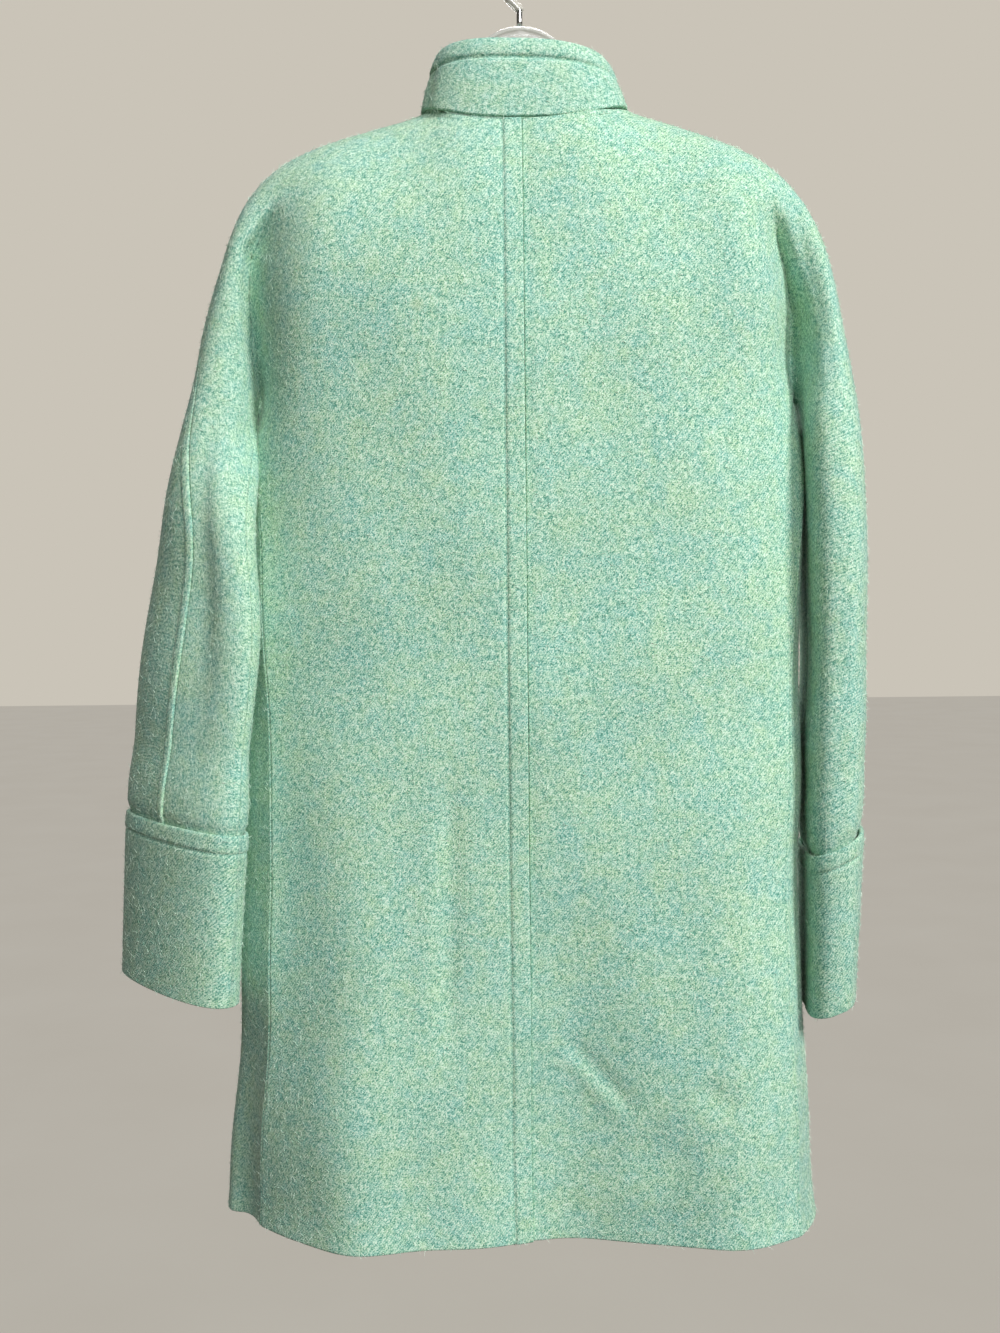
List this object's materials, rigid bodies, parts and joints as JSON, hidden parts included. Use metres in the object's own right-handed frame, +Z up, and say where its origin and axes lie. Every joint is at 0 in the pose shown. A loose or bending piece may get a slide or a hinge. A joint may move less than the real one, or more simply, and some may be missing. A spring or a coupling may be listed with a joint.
{
  "type": "cocoon coat on a clear hanger",
  "caption": "Hip-length cocoon coat of felted wool with a standing collar, dolman sleeves and turned cuffs, hanging from a clear hanger with a wire hook.",
  "frame": {"origin": "inside of the hook's top, where a rail bears", "axes": "+Z up, -Y out of the coat's back, +X to the wearer's right"},
  "size_m": [0.5927, 0.1872, 1.034],
  "materials": {
    "felted_wool": "matte, felted and heathered",
    "felted_wool_collar": "matte, felted and heathered",
    "felted_wool_cuff": "matte, felted and heathered",
    "clear_polystyrene": "clear, glossy",
    "chromed_wire": "bright",
    "clear_vinyl": "clear, satin"
  },
  "bodies": {
    "root": {"back_left": "felted_wool", "back_right": "felted_wool", "front_left": "felted_wool", "front_right": "felted_wool", "collar": "felted_wool_collar", "cuff_left": "felted_wool_cuff", "cuff_right": "felted_wool_cuff", "hanger": "clear_polystyrene", "hook": "chromed_wire", "hook_sleeve": "clear_vinyl"}
  },
  "joints": []
}
